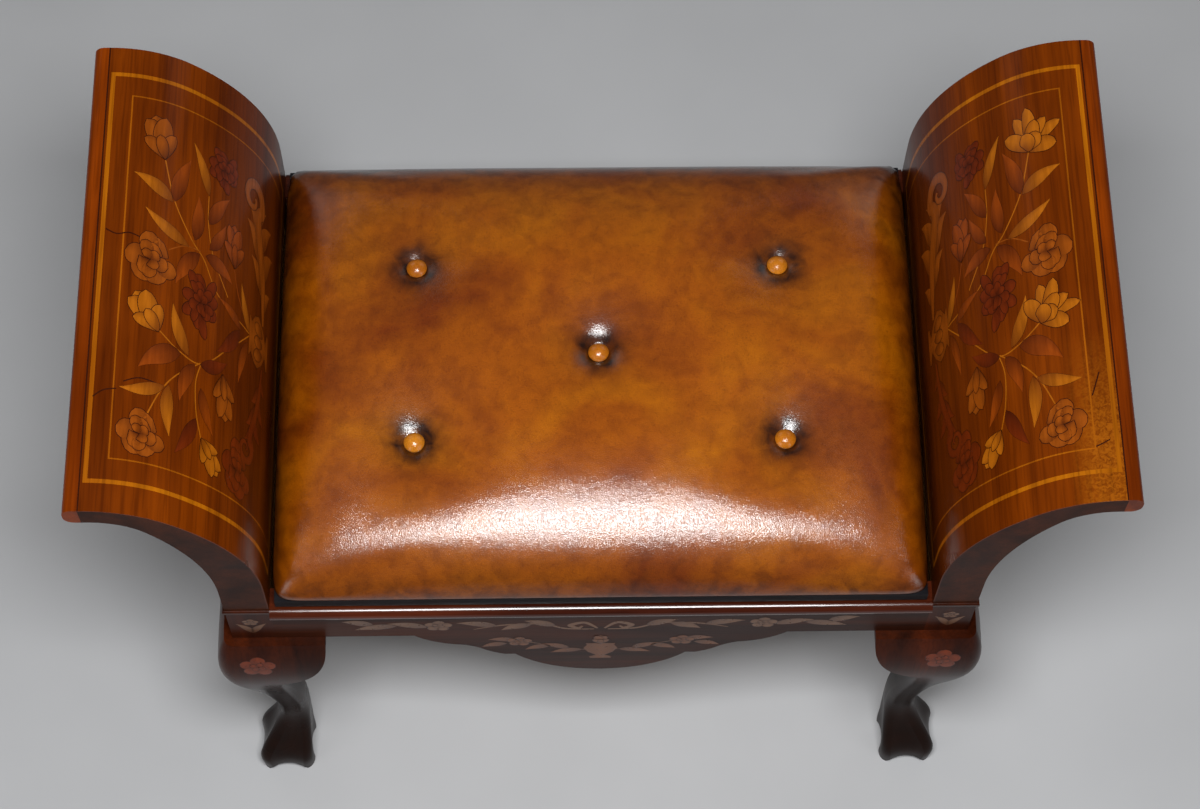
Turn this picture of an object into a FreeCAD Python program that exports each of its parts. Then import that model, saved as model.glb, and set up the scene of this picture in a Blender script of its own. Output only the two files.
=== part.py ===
import FreeCAD, Part
import math
import os

# Marquetry window stool: a buttoned leather seat that lifts over a shallow music well, between
# two arms that curve outwards, on four cabriole legs with claw feet.
# Millimetres. The origin is on the floor under the middle, X across, -Y to the front, +Z up.

# Overall sizes
overall_width = 840.0
frame_depth = 420.0
arm_base_height = 416.0
rail_height = 66.0
arm_rise = 220.0
arm_reach = 139.0

# Posts, rails and their stub tenons
post_width = 38.0
rail_thickness = 20.0
tenon_thickness = 8.0
tenon_length = 16.0
tenon_shoulder = 6.0
tenon_clearance = 0.2

# Mouldings along the top of the rails and under the arms
top_bead_height = 14.0
top_bead_projection = 6.0
base_bead_height = 6.0
base_bead_projection = 2.0
base_bead_round = 1.8

# Cabriole leg sections: how far the outer and the inner faces stand out from the post's faces, the
# radii of the inner corners and of the outer one, and the bow of the sides, negative where hollow
# Foot and ankle, by height above the floor
foot_sections = (
    (0.0, 9.0, 3.0, 10.0, 10.0, -2.5),
    (18.0, 10.0, 4.0, 10.0, 10.0, -3.0),
    (42.0, 4.0, 4.0, 9.0, 9.0, -2.2),
    (64.0, -7.0, 4.5, 9.0, 9.0, -0.8),
    (94.0, -15.0, 5.0, 9.0, 9.0, 0.6),
    (135.0, -12.5, 4.0, 8.5, 9.5, 0.6),
)
# Shin and knee, by depth below the rails, from the shin up
knee_sections = (
    (150.0, -1.0, -3.0, 6.5, 11.0, 0.5),
    (110.0, 9.0, -4.0, 5.0, 13.0, 0.4),
    (80.0, 15.5, -2.0, 4.0, 14.0, 0.4),
    (50.0, 18.0, 2.0, 3.5, 14.0, 0.4),
    (25.0, 15.5, 4.5, 3.5, 12.0, 0.4),
    (0.0, 8.0, 5.0, 3.5, 8.0, 0.4),
)
foot_arch_height = 13.0
foot_arch_width = 37.0
foot_ball_radius = 21.5
foot_ball_height = 20.0

# Knee brackets beside the legs
bracket_reach = 42.0
bracket_tip_height = 6.0
bracket_drop = 84.0
bracket_sag = 12.0
bracket_depth = 18.0
bracket_lap = 6.0

# Shaped apron under the front and back rails
apron_thickness = 16.0
apron_half_width = 162.0
apron_flank_x = 120.0
apron_flank_drop = 24.0
apron_flank_sag = 5.0
apron_ogee_sag = 1.3
apron_shoulder_x = 84.0
apron_shoulder_drop = 49.0
apron_lobe_half_width = 75.0
apron_drop = 91.0

# Curved arms
arm_edge_thickness = 23.0
arm_edge_width = 13.0
arm_edge_round = 9.0
arm_inner_rise = 50.0
arm_outer_rise = 43.0
arm_inner_turn = 46.0
arm_outer_turn = 34.6
arm_underside_flat = 4.0
veneer_thickness = 1.0
dowel_radius = 4.0
dowel_depth = 25.0
dowel_pitch = 96.0
dowel_count = 4
dowel_clearance = 0.1

# Inlaid strings on the arms: distance from the arm's outer edge, its ends and its foot, and width
string_depth = 0.7
bold_string_edge = 16.0
bold_string_end = 24.0
bold_string_foot = 18.0
bold_string_width = 3.6
fine_string_edge = 34.0
fine_string_end = 45.0
fine_string_foot = 28.0
fine_string_width = 1.2

# Music well under the seat
cleat_width = 12.0
cleat_height = 10.0
corner_block_leg = 40.0
floor_thickness = 5.0
floor_clearance = 0.5

# Butt hinges behind the lid
hinge_length = 50.0
hinge_end_distance = 97.5
hinge_leaf_width = 20.0
hinge_leaf_thickness = 1.4
hinge_leaf_clearance = 0.4
hinge_setback = 1.0
knuckle_radius = 3.2
knuckle_gap = 0.5
knuckle_recess_gap = 0.8
middle_knuckle_length = 17.0
pin_radius = 1.5
pin_clearance = 0.1
hinge_screw_pitch = 17.0
hinge_screw_count = 3
screw_shank_radius = 1.4
screw_head_radius = 2.6
screw_head_height = 1.2
screw_length = 9.0

# Lid board, its lining and the felt pads that it shuts on
lid_thickness = 12.0
lid_front_setback = 2.0
lid_back_gap = 5.0
lid_side_gap = 5.5
lining_thickness = 0.8
lining_margin = 8.0
buffer_radius = 7.0
buffer_end_distance = 75.5
buffer_setback = 10.0
buffer_clearance = 0.2

# Leather seat pad
pad_side_gap = 4.0
pad_end_gap = 1.0
pad_height = 60.0
pad_widest_height = 9.0
pad_tuck = 4.0
pad_corner = 14.0
pad_top_corner = 50.0
pad_flat_depth = 132.0
pad_crown_steps = 6
pad_side_draw = 3.0
pad_least_bow = 0.3
leather_thickness = 2.0
stuffing_clearance = 0.3

# Sewn tufts and their covered buttons
tuft_end_distance = 120.0
tuft_edge_distance = 123.0
tuft_depth = 14.0
tuft_radius = 34.0
tuft_seat_radius = 10.0
tuft_lift = 1.5
tuft_middle_radius = 0.3
tuft_middle_height = 0.66
button_radius = 8.8
button_rim_height = 2.0
button_dome_height = 5.0
twine_radius = 1.0

# Places that follow from the sizes above
rail_bottom_height = arm_base_height - rail_height
arm_top_height = arm_base_height + arm_rise
post_inner_x = overall_width / 2 - arm_reach
post_outer_x = post_inner_x + post_width
post_outer_y = frame_depth / 2
post_inner_y = post_outer_y - post_width
rail_inner_y = post_outer_y - rail_thickness
rail_top = arm_base_height - top_bead_height
post_top = arm_base_height - base_bead_height
arm_joint_x = overall_width / 2 - arm_edge_width
hinge_gap = 2 * hinge_leaf_thickness + hinge_leaf_clearance
hinge_axis_y = post_outer_y + hinge_setback
hinge_axis_z = arm_base_height + hinge_gap / 2
hinge_leaf_front = hinge_axis_y - hinge_leaf_width
hinge_leaf_back = hinge_axis_y - knuckle_radius - knuckle_gap
lid_bottom = arm_base_height + hinge_gap
lid_top = lid_bottom + lid_thickness
lid_front_y = -(post_outer_y - lid_front_setback)
lid_back_y = hinge_axis_y - lid_back_gap
lid_half_width = post_inner_x - lid_side_gap
pad_half_width = post_inner_x - pad_side_gap
pad_front_y = lid_front_y + pad_end_gap
pad_back_y = lid_back_y - pad_end_gap
pad_middle_y = (pad_front_y + pad_back_y) / 2
pad_crown_reach = (pad_back_y - pad_front_y - pad_flat_depth) / 2
pad_top = lid_top + pad_height
tuft_seat_height = pad_top - tuft_depth
floor_bottom = rail_bottom_height + cleat_height

X_AXIS = FreeCAD.Vector(1, 0, 0)
Y_AXIS = FreeCAD.Vector(0, 1, 0)
Z_AXIS = FreeCAD.Vector(0, 0, 1)
ORIGIN = FreeCAD.Vector(0, 0, 0)
LOFT_DEGREE = 3
SIDES = (("left", -1), ("right", 1))
ENDS = (("front", -1), ("back", 1))


# Small helpers

def vector(x, y, z):
    return FreeCAD.Vector(x, y, z)


def box(x_low, x_high, y_low, y_high, z_low, z_high):
    corner = vector(x_low, y_low, z_low)
    return Part.makeBox(x_high - x_low, y_high - y_low, z_high - z_low, corner)


def line(start, end):
    return Part.LineSegment(start, end).toShape()


def arc(start, middle, end):
    return Part.Arc(start, middle, end).toShape()


def bowed_arc(start, end, outwards, bow):
    """Arc from start to end whose middle stands off the straight line by the bow."""
    middle = (start + end) * 0.5 + outwards * bow
    return arc(start, middle, end)


def hanging_arc(start, end, sag):
    """Arc in an upright plane that hangs below the straight line by the sag, or rises if negative."""
    chord = end - start
    below = chord.cross(Y_AXIS).normalize()
    if below.z > 0:
        below = below * -1
    return bowed_arc(start, end, below, sag)


def prism(edges, along):
    """Solid swept straight along a vector from a closed outline."""
    return Part.Face(Part.Wire(edges)).extrude(along)


def loft(sections):
    """Smooth solid through level outlines, of a degree low enough that it stays between them."""
    return Part.makeLoft(sections, True, False, False, LOFT_DEGREE)


def turned(outline, x, y):
    """Solid turned about the upright axis through x, y from an outline on one side of it."""
    return Part.Face(Part.Wire(outline)).revolve(vector(x, y, 0), Z_AXIS, 360)


def facing(shape, side_x, side_y):
    """The shape, built for the right and the back, turned to face the asked side and end."""
    if side_x < 0:
        shape = shape.mirror(ORIGIN, X_AXIS)
    if side_y < 0:
        shape = shape.mirror(ORIGIN, Y_AXIS)
    return shape


def save(name, shape):
    shape.exportStep("parts/" + name + ".step")


def bowed_rectangle(x_low, x_high, y_low, y_high, height, corner, outer_corner, bow):
    """Level outline of four bowed sides and round corners, with its own radius on the +X +Y one."""
    spots = (
        (x_high, y_low, 1, -1, corner),
        (x_high, y_high, 1, 1, outer_corner),
        (x_low, y_high, -1, 1, corner),
        (x_low, y_low, -1, -1, corner),
    )
    ends = []
    rounds = []
    for x, y, way_x, way_y, radius in spots:
        slant = radius * (1 - math.sqrt(0.5))
        beside = vector(x - way_x * radius, y, height)
        above = vector(x, y - way_y * radius, height)
        first, last = (beside, above) if way_x * way_y < 0 else (above, beside)
        ends.append((first, last))
        rounds.append(arc(first, vector(x - way_x * slant, y - way_y * slant, height), last))
    outwards = (-Y_AXIS, X_AXIS, Y_AXIS, -X_AXIS)
    edges = []
    for index in range(len(spots)):
        side_start = ends[index - 1][1]
        side_end = ends[index][0]
        edges += [bowed_arc(side_start, side_end, outwards[index], bow), rounds[index]]
    return Part.Wire(edges)


# Legs

def leg_section(height, outwards, inwards, corner, outer_corner, bow):
    return bowed_rectangle(post_inner_x - inwards, post_outer_x + outwards, post_inner_y - inwards,
                           post_outer_y + outwards, height, corner, outer_corner, bow)


def front_tenon(clearance):
    """Tenon on the end of a front or back rail, grown by the clearance when it cuts its mortise."""
    middle_y = (post_outer_y + rail_inner_y) / 2
    half = tenon_thickness / 2 + clearance
    return box(post_inner_x, post_inner_x + tenon_length + clearance, middle_y - half, middle_y + half,
               rail_bottom_height + tenon_shoulder - clearance, rail_top - tenon_shoulder + clearance)


def side_tenon(clearance):
    """Tenon on the end of a side rail, grown by the clearance when it cuts its mortise."""
    middle_x = (post_inner_x + post_outer_x) / 2
    half = tenon_thickness / 2 + clearance
    return box(middle_x - half, middle_x + half, post_inner_y, post_inner_y + tenon_length + clearance,
               rail_bottom_height + tenon_shoulder - clearance, post_top - tenon_shoulder + clearance)


def foot_arches(foot_x, foot_y):
    """Two crossing round tunnels that leave the foot standing on its four claws."""
    half = foot_arch_width / 2
    radius = (half ** 2 + foot_arch_height ** 2) / (2 * foot_arch_height)
    axis_height = foot_arch_height - radius
    length = 4 * post_width
    along_x = Part.makeCylinder(radius, length, vector(foot_x - length / 2, foot_y, axis_height), X_AXIS)
    along_y = Part.makeCylinder(radius, length, vector(foot_x, foot_y - length / 2, axis_height), Y_AXIS)
    return along_x.fuse(along_y)


def leg():
    """Back right leg in one piece: post, knee, ankle and claw foot round its ball."""
    sections = [leg_section(*section) for section in foot_sections]
    sections += [leg_section(rail_bottom_height - drop, *rest) for drop, *rest in knee_sections]
    shape = loft(sections)
    post = box(post_inner_x, post_outer_x, post_inner_y, post_outer_y, rail_bottom_height, post_top)
    sole_out, sole_in = foot_sections[0][1:3]
    foot_x = (post_inner_x - sole_in + post_outer_x + sole_out) / 2
    foot_y = (post_inner_y - sole_in + post_outer_y + sole_out) / 2
    ball = Part.makeSphere(foot_ball_radius, vector(foot_x, foot_y, foot_ball_height))
    reach = 2 * foot_ball_radius
    above_floor = box(foot_x - reach, foot_x + reach, foot_y - reach, foot_y + reach, 0, reach)
    shape = shape.cut(foot_arches(foot_x, foot_y)).fuse(ball.common(above_floor)).fuse(post)
    return shape.cut(front_tenon(tenon_clearance)).cut(side_tenon(tenon_clearance))


def knee_face():
    """Curve of the knee's outer face in the YZ plane, from the rail down, as on the leg."""
    points = [vector(0, post_outer_y + out, rail_bottom_height - drop)
              for drop, out, *rest in reversed(knee_sections)]
    curve = Part.BSplineCurve()
    curve.interpolate(points)
    return curve.toShape(), points[0], points[-1]


def knee_bracket(leg_shape):
    """Bracket beside the back right leg under the back rail, with the knee's swell on its face."""
    root_x = post_inner_x + bracket_lap
    top = rail_bottom_height
    root_top = vector(root_x, 0, top)
    root = vector(root_x, 0, top - bracket_drop)
    tip_top = vector(post_inner_x - bracket_reach, 0, top)
    tip = vector(tip_top.x, 0, top - bracket_tip_height)
    outline = [
        line(root_top, tip_top),
        line(tip_top, tip),
        hanging_arc(tip, root, bracket_sag),
        line(root, root_top),
    ]
    slab = prism(outline, vector(0, 2 * post_outer_y, 0))
    face, high, low = knee_face()
    back_high = vector(0, post_outer_y - bracket_depth, high.z)
    back_low = vector(0, post_outer_y - bracket_depth, low.z)
    swell = prism([face, line(low, back_low), line(back_low, back_high), line(back_high, high)],
                  vector(post_outer_x, 0, 0))
    return slab.common(swell).cut(leg_shape)


def side_bracket(bracket):
    """The same bracket under the side rail: the other one mirrored about the leg's diagonal."""
    on_diagonal = vector(post_outer_x - post_outer_y, 0, 0)
    return bracket.mirror(on_diagonal, X_AXIS - Y_AXIS)


# Rails, aprons and mouldings

def long_rail():
    """Back rail with a tenon at each end."""
    rail = box(-post_inner_x, post_inner_x, rail_inner_y, post_outer_y, rail_bottom_height, rail_top)
    return rail.fuse(front_tenon(0)).fuse(facing(front_tenon(0), -1, 1)).removeSplitter()


def side_rail():
    """Right rail with a tenon at each end, bored for the arm's dowels."""
    rail = box(post_inner_x, post_outer_x, -post_inner_y, post_inner_y, rail_bottom_height, post_top)
    rail = rail.fuse(side_tenon(0)).fuse(facing(side_tenon(0), 1, -1)).removeSplitter()
    return rail.cut(arm_dowels(dowel_clearance))


def apron():
    """Back apron: a round lobe in the middle, a shoulder and a scooped flank on each side."""

    def at(x, drop):
        return vector(x, post_outer_y, rail_bottom_height - drop)

    edges = []
    for side in (1, -1):
        top = at(side * apron_half_width, 0)
        flank = at(side * apron_flank_x, apron_flank_drop)
        shoulder = at(side * apron_shoulder_x, apron_shoulder_drop)
        step = at(side * apron_lobe_half_width, apron_shoulder_drop)
        waist = (flank + shoulder) * 0.5
        edges += [
            hanging_arc(top, flank, apron_flank_sag),
            hanging_arc(flank, waist, -apron_ogee_sag),
            hanging_arc(waist, shoulder, apron_ogee_sag),
            line(shoulder, step),
        ]
    edges.append(arc(at(apron_lobe_half_width, apron_shoulder_drop), at(0, apron_drop),
                     at(-apron_lobe_half_width, apron_shoulder_drop)))
    edges.append(line(at(apron_half_width, 0), at(-apron_half_width, 0)))
    return prism(Part.__sortEdges__(edges), vector(0, -apron_thickness, 0))


def top_bead():
    """Half-round moulding that runs along the top of the back rail between the arms."""
    start_x = -post_inner_x
    inner_low = vector(start_x, rail_inner_y, rail_top)
    inner_high = vector(start_x, rail_inner_y, arm_base_height)
    outer_low = vector(start_x, post_outer_y, rail_top)
    outer_high = vector(start_x, post_outer_y, arm_base_height)
    nose = bowed_arc(outer_low, outer_high, Y_AXIS, top_bead_projection)
    outline = [line(inner_low, outer_low), nose, line(outer_high, inner_high), line(inner_high, inner_low)]
    return prism(outline, vector(2 * post_inner_x, 0, 0))


def hinged_bead():
    """Back moulding with its screw holes and the hollows that take the hinge knuckles."""
    bead = top_bead()
    for middle in hinge_middles():
        start = vector(middle - hinge_length / 2 - knuckle_recess_gap, hinge_axis_y, hinge_axis_z)
        length = hinge_length + 2 * knuckle_recess_gap
        bead = bead.cut(Part.makeCylinder(knuckle_radius + knuckle_recess_gap, length, start, X_AXIS))
    return bead.cut(frame_leaf_screws())


# Arms

def arm_arcs(start_x, start_z, end_x, end_z, turn):
    """Two tangent arcs that leave a vertical line and end level, as their joint, centres and radii."""
    sine = math.sin(math.radians(turn))
    cosine = math.cos(math.radians(turn))
    width = end_x - start_x
    rise = end_z - start_z
    determinant = (1 - cosine) * (1 - sine) - sine * cosine
    lower = (width * (1 - sine) - rise * cosine) / determinant
    upper = (rise * (1 - cosine) - width * sine) / determinant
    lower_centre = (start_x + lower, start_z)
    upper_centre = (end_x, end_z - upper)
    return lower_centre, lower, upper_centre, upper


def arm_curve(arcs, inset, turn, flat):
    """Edges of one face of the arm from its base to its end, set into the wood by the inset."""
    lower_centre, lower, upper_centre, upper = arcs

    def on(centre, radius, degrees):
        angle = math.radians(degrees)
        x = centre[0] - radius * math.cos(angle)
        return vector(x, -post_outer_y, centre[1] + radius * math.sin(angle))

    lower -= inset
    upper -= inset
    start = on(lower_centre, lower, 0)
    joint = on(lower_centre, lower, turn)
    end = on(upper_centre, upper, 90)
    base = vector(start.x, start.y, arm_base_height)
    edges = [
        line(base, start),
        arc(start, on(lower_centre, lower, turn / 2), joint),
        arc(joint, on(upper_centre, upper, (turn + 90) / 2), end),
    ]
    if flat:
        crest = end
        end = crest + X_AXIS * flat
        edges.append(line(crest, end))
    return edges, base, end


def inner_curve(inset):
    """Seat side of the arm."""
    arcs = arm_arcs(post_inner_x, arm_base_height + arm_inner_rise, arm_joint_x, arm_top_height,
                    arm_inner_turn)
    return arm_curve(arcs, inset, arm_inner_turn, 0)


def outer_curve():
    """Outer, hollow side of the arm."""
    arcs = arm_arcs(post_outer_x, arm_base_height + arm_outer_rise, arm_joint_x - arm_underside_flat,
                    arm_top_height - arm_edge_thickness, arm_outer_turn)
    return arm_curve(arcs, 0, arm_outer_turn, arm_underside_flat)


def between_curves(near, far, depth):
    """Board between two arm curves, swept along the depth of the stool."""
    near_edges, near_base, near_end = near
    far_edges, far_base, far_end = far
    edges = near_edges + far_edges + [line(near_base, far_base), line(near_end, far_end)]
    return prism(Part.__sortEdges__(edges), vector(0, depth, 0))


def arm():
    """Right arm's solid board, bored for its dowels."""
    board = between_curves(inner_curve(veneer_thickness), outer_curve(), frame_depth)
    return board.cut(arm_dowels(dowel_clearance))


def string_frame(edge, end, foot, width):
    """Inlaid string round the right arm's panel: along its outer edge, both ends and its foot."""
    layer = between_curves(inner_curve(0), inner_curve(string_depth), frame_depth)
    outer_x = overall_width / 2 - edge
    half_depth = post_outer_y - end
    low = arm_base_height + foot
    whole = layer.common(box(0, outer_x, -half_depth, half_depth, low, 2 * arm_top_height))
    panel = box(0, outer_x - width, -half_depth + width, half_depth - width,
                low + width, 2 * arm_top_height)
    return whole.cut(panel)


def bold_string():
    return string_frame(bold_string_edge, bold_string_end, bold_string_foot, bold_string_width)


def fine_string():
    return string_frame(fine_string_edge, fine_string_end, fine_string_foot, fine_string_width)


def arm_veneer():
    """Walnut veneer on the right arm's seat side, grooved for its two strings."""
    sheet = between_curves(inner_curve(0), inner_curve(veneer_thickness), frame_depth)
    return sheet.cut(bold_string()).cut(fine_string())


def arm_edge():
    """Rounded strip along the right arm's outer edge."""
    strip = box(arm_joint_x, overall_width / 2, -post_outer_y, post_outer_y,
                arm_top_height - arm_edge_thickness, arm_top_height)
    long_edges = [edge for edge in strip.Edges
                  if edge.BoundBox.XMin > arm_joint_x and edge.BoundBox.YLength > frame_depth / 2]
    return strip.makeFillet(arm_edge_round, long_edges)


def base_bead():
    """Thin moulding between the right arm and the posts and rail under it."""
    out = base_bead_projection
    strip = box(post_inner_x, post_outer_x + out, -post_outer_y - out, post_outer_y + out,
                post_top, arm_base_height)
    level_edges = [edge for edge in strip.Edges if edge.BoundBox.ZLength < base_bead_height / 2
                   and edge.BoundBox.XMax > post_outer_x]
    return strip.makeFillet(base_bead_round, level_edges).cut(arm_dowels(dowel_clearance))


def arm_dowels(clearance):
    """Row of dowels from the right side rail through the bead into the arm."""
    middle_x = (post_inner_x + post_outer_x) / 2
    first_y = -dowel_pitch * (dowel_count - 1) / 2
    low = post_top - dowel_depth - clearance
    length = base_bead_height + 2 * dowel_depth + 2 * clearance
    pegs = []
    for index in range(dowel_count):
        foot = vector(middle_x, first_y + index * dowel_pitch, low)
        pegs.append(Part.makeCylinder(dowel_radius + clearance, length, foot))
    return Part.makeCompound(pegs)


# Music well

def floor_cleat():
    """Bearer along the inside of the back rail, between the corner blocks."""
    half = post_inner_x - corner_block_leg
    return box(-half, half, rail_inner_y - cleat_width, rail_inner_y, rail_bottom_height, floor_bottom)


def corner_block():
    """Triangular glue block in the back right inside corner of the frame."""
    corner = vector(post_inner_x, rail_inner_y, rail_bottom_height)
    along_x = corner - vector(corner_block_leg, 0, 0)
    along_y = corner - vector(0, corner_block_leg, 0)
    return prism([line(corner, along_x), line(along_x, along_y), line(along_y, corner)],
                 vector(0, 0, cleat_height))


def well_floor():
    half_x = post_inner_x - floor_clearance
    half_y = rail_inner_y - floor_clearance
    return box(-half_x, half_x, -half_y, half_y, floor_bottom, floor_bottom + floor_thickness)


# Hinges

def hinge_middles():
    middle = lid_half_width - hinge_end_distance
    return (-middle, middle)


def along_axis(start_x, end_x, radius):
    """Round bar on the hinge axis."""
    return Part.makeCylinder(radius, end_x - start_x, vector(start_x, hinge_axis_y, hinge_axis_z), X_AXIS)


def screw_row(middle, head_height, points_down):
    """Countersunk screws along one leaf, with their heads flush at the given height."""
    way = -1 if points_down else 1
    first_x = middle - hinge_screw_pitch * (hinge_screw_count - 1) / 2
    screw_y = (hinge_leaf_front + hinge_leaf_back) / 2
    screws = []
    for index in range(hinge_screw_count):
        head_at = vector(first_x + index * hinge_screw_pitch, screw_y, head_height)
        head = Part.makeCone(screw_head_radius, screw_shank_radius, screw_head_height, head_at, Z_AXIS * way)
        shank = Part.makeCylinder(screw_shank_radius, screw_length, head_at, Z_AXIS * way)
        screws.append(head.fuse(shank).removeSplitter())
    return screws


def frame_leaf_screws():
    screws = [screw for middle in hinge_middles()
              for screw in screw_row(middle, arm_base_height + hinge_leaf_thickness, True)]
    return Part.makeCompound(screws)


def lid_leaf_screws():
    screws = [screw for middle in hinge_middles()
              for screw in screw_row(middle, lid_bottom - hinge_leaf_thickness, False)]
    return Part.makeCompound(screws)


def frame_leaf(middle):
    """Leaf on the back moulding, with the two outer knuckles."""
    low = middle - hinge_length / 2
    high = middle + hinge_length / 2
    gap = middle_knuckle_length / 2 + knuckle_gap
    top = arm_base_height + hinge_leaf_thickness
    leaf = box(low, high, hinge_leaf_front, hinge_leaf_back, arm_base_height, top)
    for start, end in ((low, middle - gap), (middle + gap, high)):
        tongue = box(start, end, hinge_leaf_back, hinge_axis_y, arm_base_height, top)
        leaf = leaf.fuse(tongue).fuse(along_axis(start, end, knuckle_radius))
    bore = along_axis(low, high, pin_radius + pin_clearance)
    return leaf.removeSplitter().cut(bore).cut(frame_leaf_screws())


def lid_leaf(middle):
    """Leaf under the lid board, with the middle knuckle."""
    low = middle - middle_knuckle_length / 2
    high = middle + middle_knuckle_length / 2
    bottom = lid_bottom - hinge_leaf_thickness
    leaf = box(middle - hinge_length / 2, middle + hinge_length / 2, hinge_leaf_front, hinge_leaf_back,
               bottom, lid_bottom)
    tongue = box(low, high, hinge_leaf_back, hinge_axis_y, bottom, lid_bottom)
    leaf = leaf.fuse(tongue).fuse(along_axis(low, high, knuckle_radius)).removeSplitter()
    bore = along_axis(low, high, pin_radius + pin_clearance)
    return leaf.cut(bore).cut(lid_leaf_screws())


def hinge_pin(middle):
    return along_axis(middle - hinge_length / 2, middle + hinge_length / 2, pin_radius)


# Lid and seat pad

def tuft_places():
    """Quincunx of tufts: four at the corners of a rectangle and one in the middle."""
    reach_x = pad_half_width - tuft_end_distance
    rows_y = (pad_front_y + tuft_edge_distance, pad_back_y - tuft_edge_distance)
    corners = [(side * reach_x, row_y) for row_y in rows_y for side in (-1, 1)]
    return corners + [(0, pad_middle_y)]


def button_twines():
    """Twine from each button down through the pad and the lid board."""
    length = tuft_seat_height - lid_bottom
    twines = [Part.makeCylinder(twine_radius, length, vector(x, y, lid_bottom)) for x, y in tuft_places()]
    return Part.makeCompound(twines)


def lid_board():
    board = box(-lid_half_width, lid_half_width, lid_front_y, lid_back_y, lid_bottom, lid_top)
    return board.cut(lid_leaf_screws()).cut(button_twines())


def lid_lining():
    """Cloth glued under the lid board, over the well."""
    half_x = lid_half_width - lining_margin
    half_y = rail_inner_y - lining_margin
    return box(-half_x, half_x, -half_y, half_y, lid_bottom - lining_thickness, lid_bottom)


def lid_buffers():
    """Felt pads on the front moulding that hold the lid level."""
    height = hinge_gap - buffer_clearance
    pads = []
    for side in (-1, 1):
        place_x = side * (lid_half_width - buffer_end_distance)
        foot = vector(place_x, buffer_setback - post_outer_y, arm_base_height)
        pads.append(Part.makeCylinder(buffer_radius, height, foot))
    return Part.makeCompound(pads)


def pad_section(height, inset, bow, shrink):
    corner = pad_corner + (pad_top_corner - pad_corner) * inset / pad_crown_reach
    edge = inset + shrink
    half_width = pad_half_width - edge
    return bowed_rectangle(-half_width, half_width, pad_front_y + edge, pad_back_y - edge,
                           lid_top + height, corner, corner, bow)


def crowned_pad(shrink):
    """Pad that is drawn in at the board, widest just above it, and crowned to a flat top."""
    sections = [pad_section(0, pad_tuck, -pad_side_draw, shrink)]
    crown_height = pad_height - pad_widest_height - shrink
    for step in range(pad_crown_steps + 1):
        angle = math.radians(90) * step / pad_crown_steps
        height = pad_widest_height + crown_height * math.sin(angle)
        inset = pad_crown_reach * (1 - math.cos(angle))
        bow = -pad_side_draw * math.cos(angle) - pad_least_bow
        sections.append(pad_section(height, inset, bow, shrink))
    return loft(sections)


def tuft_hollow(x, y, grow):
    """Horn-shaped hollow that a button pulls into the pad."""
    seat = tuft_seat_radius + grow
    rim = tuft_radius + grow
    low = tuft_seat_height - grow
    high = pad_top + tuft_lift
    over = high + tuft_depth

    def at(radius, height):
        return vector(x + radius, y, height)

    middle = at(seat + tuft_middle_radius * (rim - seat), low + tuft_middle_height * (high - low))
    outline = [
        line(at(0, low), at(seat, low)),
        arc(at(seat, low), middle, at(rim, high)),
        line(at(rim, high), at(rim, over)),
        line(at(rim, over), at(0, over)),
        line(at(0, over), at(0, low)),
    ]
    return turned(outline, x, y)


def tufted_pad(shrink):
    shape = crowned_pad(shrink)
    for x, y in tuft_places():
        shape = shape.cut(tuft_hollow(x, y, shrink))
    return shape


def seat_leather():
    """Leather cover over the stuffing, open at the board."""
    return tufted_pad(0).cut(tufted_pad(leather_thickness)).cut(button_twines())


def seat_stuffing():
    return tufted_pad(leather_thickness + stuffing_clearance).cut(button_twines())


def seat_button(x, y):
    """Leather-covered button with a spherical dome, at the bottom of a tuft."""

    def at(radius, height):
        return vector(x + radius, y, tuft_seat_height + height)

    sphere_radius = (button_radius ** 2 + button_dome_height ** 2) / (2 * button_dome_height)
    sphere_height = button_rim_height + button_dome_height - sphere_radius
    half_angle = math.asin(button_radius / sphere_radius) / 2
    rim = at(button_radius, button_rim_height)
    shoulder = at(sphere_radius * math.sin(half_angle), sphere_height + sphere_radius * math.cos(half_angle))
    crown = at(0, button_rim_height + button_dome_height)
    outline = [
        line(at(0, 0), at(button_radius, 0)),
        line(at(button_radius, 0), rim),
        arc(rim, shoulder, crown),
        line(crown, at(0, 0)),
    ]
    return turned(outline, x, y)


def seat_buttons():
    return Part.makeCompound([seat_button(x, y) for x, y in tuft_places()])


# Every piece, in its own file

os.makedirs("parts", exist_ok=True)

leg_shape = leg()
back_bracket = knee_bracket(leg_shape)
flank_bracket = side_bracket(back_bracket)
for end, end_way in ENDS:
    for side, side_way in SIDES:
        place = end + "_" + side
        save("leg_" + place, facing(leg_shape, side_way, end_way))
        save("knee_bracket_" + place + "_" + end, facing(back_bracket, side_way, end_way))
        save("knee_bracket_" + place + "_side", facing(flank_bracket, side_way, end_way))
        save("corner_block_" + place, facing(corner_block(), side_way, end_way))

for end, end_way in ENDS:
    save("rail_" + end, facing(long_rail(), 1, end_way))
    save("apron_" + end, facing(apron(), 1, end_way))
    save("floor_cleat_" + end, facing(floor_cleat(), 1, end_way))
save("top_bead_front", facing(top_bead(), 1, -1))
save("top_bead_back", hinged_bead())

for side, side_way in SIDES:
    save("rail_" + side, facing(side_rail(), side_way, 1))
    save("base_bead_" + side, facing(base_bead(), side_way, 1))
    save("arm_" + side, facing(arm(), side_way, 1))
    save("arm_veneer_" + side, facing(arm_veneer(), side_way, 1))
    save("arm_edge_" + side, facing(arm_edge(), side_way, 1))
    save("arm_dowels_" + side, facing(arm_dowels(0), side_way, 1))
    save("bold_string_" + side, facing(bold_string(), side_way, 1))
    save("fine_string_" + side, facing(fine_string(), side_way, 1))

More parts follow.
